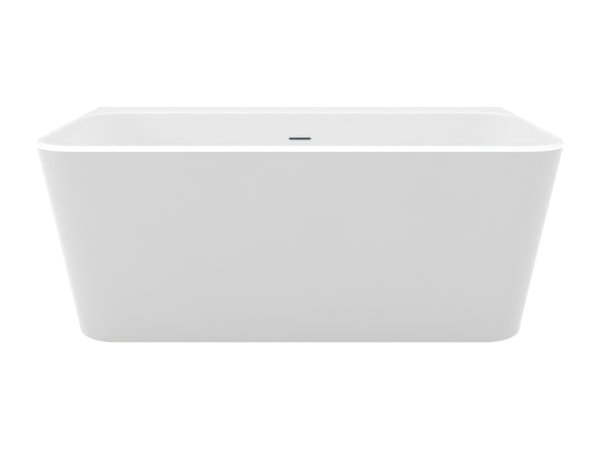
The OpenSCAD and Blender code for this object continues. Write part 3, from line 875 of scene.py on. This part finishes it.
@dataclass
class AcrylicShells:
    """The basin, the outer panel and the laminate sprayed under the basin."""

    shape: BathShape
    slot_drop: float = 93 * MM
    slot_w: float = 79 * MM
    slot_h: float = 9 * MM
    waste_r: float = 26 * MM
    recess_r: float = 37 * MM
    recess: float = 1.5 * MM
    fall: float = 1.3 * MM
    edge: float = 0.8 * MM
    laminate_drop: float = 40 * MM
    laminate_rough: float = 0.7 * MM
    laminate_fill: int = 34
    laminate_rows: int = 22
    smooth_rows: int = 4
    window_extra_w: float = 51 * MM
    window_depth: float = 80 * MM
    window_h: float = 200 * MM
    window_rise: float = 71 * MM

    def build(self) -> None:
        """Builds the three shells."""
        self.basin()
        self.panel()
        self.laminate()

    def circle(self, r: float, z: float, count: int) -> Ring:
        """A level circle round the waste, with points in step with a basin ring's."""
        centre = self.shape.waste
        turns = [math.tau * (k + 0.5) / count for k in range(count)]
        return [Vector((r * math.cos(a), centre.y + r * math.sin(a), z)) for a in turns]

    def floor_rings(self, outline: Ring, inner: Ring, fall: float) -> list[Ring]:
        """Rings across the basin floor, from the waste out to its edge, with a slight fall."""
        out = []
        for t in (0.0, 0.02, 0.1, 0.25, 0.45, 0.7, 0.9):
            drop = fall * (1 - t) ** 2
            out.append([Vector((*a.lerp(b, t).xy, b.z - drop)) for a, b in zip(inner, outline)])
        return out

    def basin(self) -> Obj:
        """The formed basin with its rim, ledge and turned-down lip, 5 mm thick all over."""
        s = self.shape
        wet_fillet, dry_fillet = s.fillet_rings(0), s.fillet_rings(s.sheet)
        count = len(wet_fillet[0])
        seat = s.floor_z - self.recess
        slot_z = s.high.z - self.slot_drop
        # Level rings on the walls, close together round the slot so that its edge comes out clean
        bands = [s.floor_z + 0.16, slot_z - 0.03, slot_z - 0.012, slot_z + 0.012, slot_z + 0.03]
        wet = [self.circle(self.waste_r, seat, count), self.circle(self.recess_r, seat, count)]
        wet += self.floor_rings(wet_fillet[0], self.circle(self.recess_r, seat, count), self.fall)
        wet += wet_fillet + [s.basin_ring(z, 0) for z in bands] + s.roll_rings(0)
        wet += s.lip_rings(0, self.edge)
        dry_floor = self.floor_rings(dry_fillet[0], self.circle(self.waste_r, s.floor_z - s.sheet, count), 0)
        dry = dry_floor + dry_fillet + [s.basin_ring(z, s.sheet) for z in bands] + s.roll_rings(s.sheet)
        dry += s.lip_rings(s.sheet, self.edge)
        obj = loft("basin_skin", wet + dry[::-1], join_ends=True)
        cut(obj, self.slot_bar(slot_z))
        # The basin wears the brighter copy of the white sheet: painted light from above in its colour
        return place_piece(obj, BASIN_ACRYLIC_PAINTED_LIGHT, Body.TUB.value, ["basin_shell"])

    def slot_bar(self, z: float) -> Obj:
        """The round-ended bar that cuts the overflow slot, square to the rear wall."""
        s = self.shape
        turn = Matrix.Rotation(-s.side_slope, 4, "X")
        at = Vector((0, s.rear_dry_y(z), z))
        rings: list[Ring] = []
        for depth in (-0.03, 0.03):
            ring = []
            for side, start in ((1, -90), (-1, 90)):
                for k in range(13):
                    a = math.radians(start + 15 * k)
                    x = side * (self.slot_w - self.slot_h) / 2 + self.slot_h / 2 * math.cos(a)
                    ring.append(at + turn @ Vector((x, depth, self.slot_h / 2 * math.sin(a))))
            rings.append(ring)
        bar = loft("slot_cutter", rings)
        face_out(bar)
        return bar

    def panel(self) -> Obj:
        """The wrapped outer panel, with its trimmed edges eased."""
        s, e = self.shape, self.edge
        low, top = s.floor_gap, s.seam_z
        levels = [low + (top - low) * k / 6 for k in range(1, 6)]
        section = [(e, low), (0.3 * e, low + 0.3 * e), (0, low + e)] + [(0, z) for z in levels]
        section += [(0, top - e), (0.3 * e, top - 0.3 * e), (e, top), (s.sheet - e, top), (s.sheet, top - e)]
        section += [(s.sheet, z) for z in levels[::-1]] + [(s.sheet, low + e), (s.sheet - e, low)]
        paths = [s.panel_path(z, off) for off, z in section]
        obj = loft("outer_panel_skin", paths, join_ends=True, closed=False)
        # The panel wears the greyer copy of the white sheet: painted shade in its colour
        return place_piece(obj, PANEL_ACRYLIC_PAINTED_SHADE, Body.TUB.value, ["outer_panel"])

    def laminate(self) -> Obj:
        """The sprayed laminate, smooth where it meets the acrylic and lumpy outside."""
        s, fill = self.shape, self.laminate_fill
        outer = s.sheet + s.laminate
        top = s.high.z - self.laminate_drop
        inner_f, outer_f = s.fillet_rings(s.sheet, fill), s.fillet_rings(outer, fill)
        count = len(inner_f[0])
        foot, rows = outer_f[-1][0].z, self.laminate_rows
        walls = [foot + (top - foot) * (k + 1) / rows for k in range(rows)]
        inner = self.floor_rings(inner_f[0], self.circle(self.waste_r, s.floor_z - s.sheet, count), 0)
        inner += inner_f + [s.basin_ring(top, s.sheet, fill)]
        rough = self.floor_rings(outer_f[0], self.circle(self.waste_r, s.floor_z - outer, count), 0)
        skin = outer_f + [s.basin_ring(z, outer, fill) for z in walls]
        calm = skin[: self.smooth_rows]
        lumpy = [[self.lump(p) for p in ring] for ring in skin[self.smooth_rows :]]
        obj = loft("grp_laminate_skin", inner + (rough + calm + lumpy)[::-1], join_ends=True)
        slot_z = s.high.z - self.slot_drop
        window = bmesh.new()
        bmesh.ops.create_cube(window, size=1.0)
        size = (self.slot_w + self.window_extra_w, self.window_depth, self.window_h, 1)
        at = Vector((0, s.rear_dry_y(slot_z) + self.window_depth / 4, slot_z + self.window_rise))
        shift = Matrix.Translation(at) @ Matrix.Diagonal(size)
        bmesh.ops.transform(window, matrix=shift, verts=window.verts)
        cutter = mesh_object("window_cutter", [], [])
        window.to_mesh(cutter.data)
        window.free()
        cut(obj, cutter)
        return place_piece(obj, LAMINATE, Body.TUB.value, ["grp_laminate"], sharp=50)

    def lump(self, p: Vector) -> Vector:
        """Moves a point of the laminate in or out by the thickness of stray glass."""
        s = self.shape
        way = Vector((p.x * 0.3, p.y - s.waste.y, 0))
        if way.length < 1e-6:
            return p
        size = noise.noise(p * 70) * 0.6 + noise.noise(p * 180) * 0.4
        return p + way.normalized() * self.laminate_rough * size


# ---------------------------------------------------------------- timber and steel


@dataclass
class Carcass:
    """The timber bonded to the shells and the galvanised frame, from the CAD's own solids."""

    timber_edge: float = 0.8 * MM
    plate_edge: float = 0.5 * MM
    bead_r: float = 2.4 * MM
    bead_step: float = 2.0 * MM
    welds: list[tuple[str, str]] = field(
        default_factory=lambda: [
            (rail, cross)
            for rail in ("frame_rail_front", "frame_rail_rear")
            for cross in ("cross_tube_left", "cross_tube_middle", "cross_tube_right")
        ]
    )

    def build(self) -> None:
        """Dresses the timber and steel, then lays the welds."""
        soften(CHIPBOARD, self.timber_edge, "base_board")
        soften(WOOD_X, self.timber_edge, "ledge_batten", "panel_batten_front")
        soften(WOOD_Y, self.timber_edge, "panel_batten_left", "panel_batten_right")
        soften(WOOD_Z, self.timber_edge, "rear_posts")
        soften(GALVANISED, self.plate_edge, "frame_rail_front", "frame_rail_rear")
        soften(GALVANISED, self.plate_edge, "cross_tube_left", "cross_tube_middle", "cross_tube_right")
        soften(ZINC, self.plate_edge, "frame_clips")
        soften(GALVANISED, self.plate_edge, "wall_brackets", "panel_brackets")
        soften(GALVANISED, 0.6 * MM, "weld_nuts")
        soften(BLACK_PLASTIC, 0.6 * MM, "frame_end_caps")
        soften(ZINC, 0.25 * MM, "board_screws", "panel_screws", "wall_bracket_screws")
        for rail, cross in self.welds:
            self.weld(rail, cross)

    def weld(self, rail: str, cross: str) -> Obj:
        """Lays a rippled fillet weld on both sides where a cross tube meets a rail."""
        low_r, high_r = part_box(rail)
        low_c, high_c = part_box(cross)
        z = low_r[2]
        points: list[Vector] = []
        faces: list[list[int]] = []
        start, end = max(low_r[1], low_c[1]) + 2 * MM, min(high_r[1], high_c[1]) - 2 * MM
        count = max(4, int((end - start) / self.bead_step))
        for x, out in ((low_c[0], -1), (high_c[0], 1)):
            base = len(points)
            for i in range(count * 4 + 1):
                y = start + (end - start) * i / (count * 4)
                ripple = 0.82 + 0.18 * abs(math.sin(math.pi * i / 4))
                fade = min(1.0, 0.35 + 4 * min(i, count * 4 - i) / (count * 4))
                for k in range(7):
                    a = math.radians(15 * k)
                    r = self.bead_r * ripple * fade * (1.25 if k in (0, 6) else 1)
                    points.append(Vector((x + out * r * math.cos(a), y, z - r * math.sin(a))))
                points.append(Vector((x - out * 0.2 * MM, y, z + 0.2 * MM)))
            for i in range(count * 4):
                for k in range(8):
                    a, b = base + i * 8 + k, base + i * 8 + (k + 1) % 8
                    faces.append([a, b, b + 8, a + 8])
            last = base + count * 4 * 8
            faces += [[base + k for k in range(8)][::-1], [last + k for k in range(8)]]
        obj = mesh_object(f"weld_{rail}_{cross}", points, faces)
        return place_piece(obj, GALVANISED, Body.TUB.value, sharp=60)


@dataclass
class LevellingFoot:
    """One foot: a threaded rod in a rubber pad, with its lock nut."""

    number: int
    pitch: float = 1.75 * MM
    thread_depth: float = 0.75 * MM
    chamfer: float = 1.2 * MM
    sides: int = 20
    pad_bore: float = 6 * MM
    ribs: int = 18
    rib_w: float = 1.2 * MM

    @property
    def body(self) -> str:
        """The CAD body that the foot's pieces ride on."""
        return f"foot_{self.number}"

    def build(self) -> None:
        """Builds the rod, the pad and the nut."""
        self.rod()
        self.pad()
        soften(ZINC, 0.6 * MM, f"foot_lock_nut_{self.number}")

    def rod(self) -> Obj:
        """The rod with its rolled thread, ended in a chamfer."""
        node = f"foot_rod_{self.number}"
        foot, radius, tall = stand(node)
        steps = int(tall / (self.pitch / 4))
        rings: list[Ring] = []
        for i in range(steps + 1):
            z = foot.z + tall * i / steps
            ring = []
            for k in range(self.sides):
                a = math.tau * k / self.sides
                turn = (z / self.pitch - k / self.sides) % 1.0
                dip = self.thread_depth * (1 - abs(2 * turn - 1))
                reach = radius - dip - max(0.0, self.chamfer - (foot.z + tall - z))
                ring.append(Vector((foot.x + reach * math.cos(a), foot.y + reach * math.sin(a), z)))
            rings.append(ring)
        obj = loft(f"threaded_rod_{self.number}", rings)
        return place_piece(obj, ZINC, self.body, [node], sharp=70)

    def pad(self) -> Obj:
        """The moulded pad, with a socket for the rod and radial ribs on its slope."""
        node = f"foot_pad_{self.number}"
        centre, r, tall = stand(node)
        bore = self.pad_bore
        profile = [(0, 0), (r - 3 * MM, 0), (r - 3 * MM, 0.8 * MM), (r - 1.5 * MM, 0.8 * MM), (r, 1.6 * MM)]
        profile += [(r, 4 * MM), (bore + 6 * MM, tall - 4 * MM), (bore + 4 * MM, tall), (bore, tall)]
        profile += [(bore, 5 * MM), (0, 5 * MM)]
        obj = lathe(f"rubber_pad_{self.number}", rounded(profile, 0.8 * MM), centre, 72)
        place_piece(obj, RUBBER, self.body, [node], sharp=50)
        ribs = self.pad_ribs(centre, r, tall, bore)
        return place_piece(ribs, RUBBER, self.body, sharp=30)

    def pad_ribs(self, centre: Vector, r: float, tall: float, bore: float) -> Obj:
        """Small ribs that stiffen the pad's slope."""
        foot_z, head_z = 3.6 * MM, tall - 4.2 * MM
        line = [(r - 1.2 * MM, foot_z), (bore + 5.5 * MM, head_z)]
        line += [(bore + 5.5 * MM, head_z + 1.6 * MM), (r - 2.5 * MM, foot_z + 1.4 * MM)]
        pairs = []
        for n in range(self.ribs):
            out = polar(1, math.tau * n / self.ribs)
            side = Vector((-out.y, out.x, 0)) * (self.rib_w / 2)
            near, far = ([centre + out * d + side * way + Vector((0, 0, z)) for d, z in line] for way in (-1, 1))
            pairs.append((near, far))
        return blocks(f"pad_ribs_{self.number}", pairs)


# ---------------------------------------------------------------- waste and overflow


@dataclass
class Waste:
    """The press-down plug, its chromed flange, and the trap and pipe under the bath."""

    shape: BathShape
    wire_r: float = 0.5 * MM
    coil_r: float = 5.4 * MM
    coils: int = 7
    coil_steps: int = 24
    collar_drop: float = 4.7 * MM
    plug_travel: float = 8 * MM
    tail_bore: float = 20.5 * MM
    tail_r: float = 24 * MM
    hub_r: float = 8 * MM
    hub_z: float = 133 * MM
    hub_h: float = 7 * MM
    arm_w: float = 3 * MM

    def build(self) -> None:
        """Builds the turned and moulded pieces."""
        self.cap()
        self.seal()
        self.flange()
        self.spider()
        soften(ZINC, 0.3 * MM, "plug_stem")
        soften(POLYPROPYLENE, 0.3 * MM, "plug_cartridge")
        self.spring()
        soften(RUBBER, 0.15 * MM, "waste_top_seal", "waste_bottom_seal")
        soften(RUBBER, 0.15 * MM, "trap_seal", "trap_cup_seal", "outlet_seal")
        soften(POLYPROPYLENE, 0.6 * MM, "waste_back_nut", "trap_nut", "trap_cup", "outlet_nut")
        soften(POLYPROPYLENE, 0.8 * MM, "trap_body")
        soften(PVC, 0.4 * MM, "outlet_pipe", "outlet_adaptor")

    def cap(self) -> Obj:
        """The plug's crowned cap, with a soft turned edge."""
        centre, r, tall = stand("plug_cap", self.shape.waste)
        crown = []
        for t in (math.radians(5 * k) for k in range(12, 0, -1)):
            if r * math.sin(t) < r - 0.8 * MM:
                crown.append((r * math.sin(t), tall - (tall - 2.4 * MM) * (1 - math.cos(t)) * 1.9))
        profile = [(0, 0), (r - 1.4 * MM, 0), (r - 0.4 * MM, 0.4 * MM), (r, 1.2 * MM), (r - 0.15 * MM, 1.9 * MM)]
        obj = lathe("plug_cap_turned", profile + crown + [(0, tall)], centre)
        return place_piece(obj, CHROME, Body.PLUG.value, ["plug_cap"], sharp=40)

    def seal(self) -> Obj:
        """The rubber seal under the cap, with its sealing lip."""
        centre, r, _ = stand("plug_seal", self.shape.waste)
        profile = [(4 * MM, 0.6 * MM), (r - 3 * MM, 0.6 * MM), (r - 1.4 * MM, 0)]
        profile += [(r, 1.2 * MM), (r, 3 * MM), (4 * MM, 3 * MM)]
        obj = lathe("plug_seal_moulded", rounded(profile, 0.5 * MM), centre, 72)
        return place_piece(obj, RUBBER, Body.PLUG.value, ["plug_seal"], sharp=50)

    def flange(self) -> Obj:
        """The turned flange, dished towards the drain, with its tail."""
        centre, r, top = stand("waste_flange", self.shape.waste)
        bore, tail = self.tail_bore, self.tail_r
        profile = [(bore, 0), (tail, 0), (tail, top - 2.5 * MM), (r, top - 2.5 * MM), (r, top - 1.3 * MM)]
        profile += [(r - 2 * MM, top), (r - 3.5 * MM, top), (r - 4.5 * MM, top - 0.8 * MM)]
        profile += [(tail - 0.8 * MM, top - 1.7 * MM), (tail - 1.5 * MM, top - 3 * MM), (bore, top - 15 * MM)]
        obj = lathe("waste_flange_turned", rounded(profile, 0.25 * MM), centre, 128)
        return place_piece(obj, CHROME, Body.TUB.value, ["waste_flange"], sharp=50)

    def spider(self) -> None:
        """The hub that holds the cartridge, and its four arms."""
        centre = self.shape.waste + Vector((0, 0, self.hub_z))
        r, tall = self.hub_r, self.hub_h
        section = [(r, 0), (r + 3 * MM, 0), (r + 3 * MM, tall), (r, tall)]
        hub = lathe("waste_spider_hub", rounded(section, 0.5 * MM), centre)
        place_piece(hub, CHROME, Body.TUB.value, sharp=50)
        pairs = []
        for k in range(4):
            out = polar(1, math.radians(45 + 90 * k))
            side = Vector((-out.y, out.x, 0)) * (self.arm_w / 2)
            square = [side * w + Vector((0, 0, z)) for w, z in ((-1, 0), (1, 0), (1, tall), (-1, tall))]
            ends = (r + 2.6 * MM, self.tail_bore + 0.4 * MM)
            near, far = ([centre + out * reach + p for p in square] for reach in ends)
            pairs.append((near, far))
        place_piece(blocks("waste_spider_arms", pairs), CHROME, Body.TUB.value)

    def spring(self) -> Obj:
        """The coil spring between the cartridge's floor and the stem's collar."""
        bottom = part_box("plug_spring")[0][2]
        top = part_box("plug_cartridge")[1][2] - self.collar_drop
        centre = self.shape.waste
        steps = self.coils * self.coil_steps
        low, high = bottom + self.wire_r, top - self.wire_r
        line = []
        for i in range(steps + 1):
            height = low + (high - low) * i / steps
            line.append(centre + polar(self.coil_r, math.tau * i / self.coil_steps, height))
        obj = tube("plug_spring_coiled", line, lambda _: self.wire_r, 8)
        place_piece(obj, WIRE, Body.TUB.value, ["plug_spring"], sharp=60)
        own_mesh(obj)
        return obj


def tube(name: str, line: Sequence[Vector], radius: Callable[[float], float], sides: int) -> Obj:
    """Sweeps a round tube along a line, without twist.

    Args:
        name: The new object's name.
        line: The middle of the tube.
        radius: The tube's radius at a distance along the line.
        sides: Facets round the tube.

    Returns:
        The new object.
    """
    rings: list[Ring] = []
    gone = 0.0
    across = (line[1] - line[0]).orthogonal().normalized()
    for i, p in enumerate(line):
        ahead = (line[min(i + 1, len(line) - 1)] - line[max(i - 1, 0)]).normalized()
        across = (across - ahead * across.dot(ahead)).normalized()
        other = ahead.cross(across)
        if i:
            gone += (p - line[i - 1]).length
        r = radius(gone)
        turns = [math.tau * k / sides for k in range(sides)]
        rings.append([p + (across * math.cos(a) + other * math.sin(a)) * r for a in turns])
    return loft(name, rings)


@dataclass
class Overflow:
    """The slot's trim, the box behind it and the corrugated hose down to the trap."""

    shape: BathShape
    slot_drop: float = 93 * MM
    spout_y: float = 20 * MM
    spout_down: float = 42 * MM
    port_reach: float = 62 * MM
    port_angle: float = math.radians(40)
    port_z: float = 78 * MM
    straight: float = 14 * MM
    hose_r: float = 10 * MM
    groove: float = 1.5 * MM
    rib_pitch: float = 4.6 * MM
    cuff: float = 20 * MM
    # The middle of the hose between its two straight ends, in millimetres
    route: tuple[tuple[int, int, int], ...] = (
        (4, 238, 400),
        (22, 234, 350),
        (52, 230, 300),
        (84, 224, 250),
        (112, 212, 205),
        (134, 190, 165),
        (146, 158, 130),
        (148, 118, 103),
        (138, 76, 86),
        (116, 38, 79),
    )

    def build(self) -> None:
        """Dresses the overflow's CAD pieces and sweeps the hose."""
        soften(CHROME, 0.2 * MM, "overflow_trim")
        soften(RUBBER, 0.3 * MM, "overflow_gasket")
        soften(POLYPROPYLENE, 0.8 * MM, "overflow_box")
        soften(POLYPROPYLENE, 0.5 * MM, "overflow_nut")
        soften(GALVANISED, 0.2 * MM, "hose_clip")
        self.hose()

    def points(self) -> list[Vector]:
        """The hose's route, from the box's spout to the trap's port."""
        s = self.shape
        z = s.high.z - self.slot_drop
        turn = Matrix.Rotation(-s.side_slope, 3, "X")
        spout = Vector((0, s.rear_dry_y(z), z)) + turn @ Vector((0, self.spout_y, -self.spout_down))
        down = turn @ Vector((0, 0, -1))
        out = polar(1, self.port_angle)
        port = Vector((0, s.waste.y, self.port_z)) + out * self.port_reach
        middle = [Vector(p) * MM for p in self.route]
        return [spout, spout + down * self.straight, *middle, port + out * self.straight, port]

    def hose(self) -> Obj:
        """The ribbed hose, with smooth cuffs where it is clamped."""
        knots = self.points()
        line: list[Vector] = []
        for i in range(len(knots) - 1):
            a, b, c, d = knots[max(i - 1, 0)], knots[i], knots[i + 1], knots[min(i + 2, len(knots) - 1)]
            cuts = max(2, int((c - b).length / (self.rib_pitch / 6)))
            for k in range(cuts):
                t = k / cuts
                bend, twist = 2 * a - 5 * b + 4 * c - d, 3 * b - a - 3 * c + d
                line.append(0.5 * (2 * b + (c - a) * t + bend * t**2 + twist * t**3))
        line.append(knots[-1])
        length = sum((q - p).length for p, q in zip(line, line[1:]))

        def radius(gone: float) -> float:
            """Radius of the hose at a distance from the spout."""
            if min(gone, length - gone) < self.cuff:
                return self.hose_r
            wave = 0.5 + 0.5 * math.cos(math.tau * gone / self.rib_pitch)
            return self.hose_r - self.groove * (1 - wave**0.6)

        obj = tube("overflow_hose_ribbed", line, radius, 20)
        return place_piece(obj, POLYPROPYLENE, Body.TUB.value, ["overflow_hose"], sharp=80)


# ---------------------------------------------------------------- studio


@dataclass
class Studio:
    """The floor, the soft lights and the camera."""

    shape: BathShape
    focal: float = 41.0
    sensor: float = 36.0
    distance: float = 1797 * MM
    height: float = 367 * MM
    pitch: float = 0.3154
    floor_size: float = 400.0
    aim_z: float = 350 * MM
    room_light: float = 0.72
    backdrop_light: float = 0.72
    ceiling_light: float = 0.45
    cove_light: float = 1.05
    lamps: tuple[tuple[str, tuple[float, float, float], tuple[float, float], float], ...] = (
        ("overhead_softbox", (0.0, -0.4, 2.2), (1.6, 0.8), 1.5),
        ("left_softbox", (-3.2, -1.3, 1.0), (0.7, 1.8), 9.0),
        ("right_softbox", (3.2, -1.3, 1.0), (0.5, 1.8), 1.0),
    )

    def build(self) -> None:
        """Builds the studio."""
        self.camera()
        self.floor()
        self.world()
        for name, at, size, power in self.lamps:
            self.lamp(name, Vector(at), size, power)
        bpy.context.scene.view_settings.view_transform = "Standard"

    def camera(self) -> None:
        """Stands the camera in front of the bath, looking down at it."""
        data = bpy.data.cameras.new("camera")
        data.lens = self.focal
        data.sensor_width = self.sensor
        cam = bpy.data.objects.new("camera", data)
        cam.location = (0, self.shape.low.y - self.distance, self.shape.high.z + self.height)
        cam.rotation_euler = (math.pi / 2 - self.pitch, 0, 0)
        bpy.context.scene.collection.objects.link(cam)
        bpy.context.scene.camera = cam

    def floor(self) -> None:
        """A wide pale floor."""
        h = self.floor_size / 2
        corners = [Vector((x * h, y * h, 0)) for x, y in ((-1, -1), (1, -1), (1, 1), (-1, 1))]
        floor = mesh_object("studio_floor", corners, [[0, 1, 2, 3]])
        floor.data.materials.append(FLOOR.material())
        floor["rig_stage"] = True

    def world(self) -> None:
        """Soft light from all round: a white cove at the floor, greyer above it, brightest overhead."""
        world = bpy.data.worlds.new("studio_air")
        world.use_nodes = True
        tree = world.node_tree
        way = add_node(tree, "ShaderNodeTexCoord", {}, {}).outputs["Generated"]
        parts = add_node(tree, "ShaderNodeSeparateXYZ", {}, {0: way})
        depth, height = parts.outputs[1], parts.outputs[2]
        room = map_range(tree, depth, -0.3, 0.4, (self.room_light, self.backdrop_light), "SMOOTHSTEP")
        above = map_range(tree, height, 0.25, 1.0, (0.0, self.ceiling_light), "SMOOTHSTEP")
        total = add_node(tree, "ShaderNodeMath", {"operation": "ADD"}, {0: room, 1: above})
        cove = map_range(tree, height, 0.004, 0.08, (self.cove_light, 0.0), "SMOOTHSTEP")
        total = add_node(tree, "ShaderNodeMath", {"operation": "MAXIMUM"}, {0: total.outputs[0], 1: cove})
        ground = tree.nodes["Background"]
        ground.inputs["Color"].default_value = linear("ffffff")
        tree.links.new(total.outputs[0], ground.inputs["Strength"])
        bpy.context.scene.world = world

    def lamp(self, name: str, at: Vector, size: tuple[float, float], power: float) -> None:
        """Adds one softbox that faces the bath.

        Args:
            name: The lamp's name.
            at: Where it is.
            size: Its width and height.
            power: Its power in watts.
        """
        data = bpy.data.lights.new(name, "AREA")
        data.shape = "RECTANGLE"
        data.size, data.size_y = size
        data.energy = power
        lamp = bpy.data.objects.new(name, data)
        lamp.location = at
        aim = Vector((0, 0, self.aim_z)) - at
        lamp.rotation_euler = aim.to_track_quat("-Z", "Y").to_euler()
        bpy.context.scene.collection.objects.link(lamp)


def main() -> None:
    """Builds the whole scene round the frame."""
    logging.basicConfig(level=logging.INFO, format="%(message)s")
    _FRAME.update(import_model())
    cad_box = [list(c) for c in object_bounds()]
    shape = BathShape(Vector(cad_box[0]), Vector(cad_box[1]))
    Studio(shape).build()
    AcrylicShells(shape).build()
    Carcass().build()
    for number in range(1, FEET + 1):
        LevellingFoot(number).build()
    Waste(shape).build()
    Overflow(shape).build()


if __name__ == "__main__":
    main()
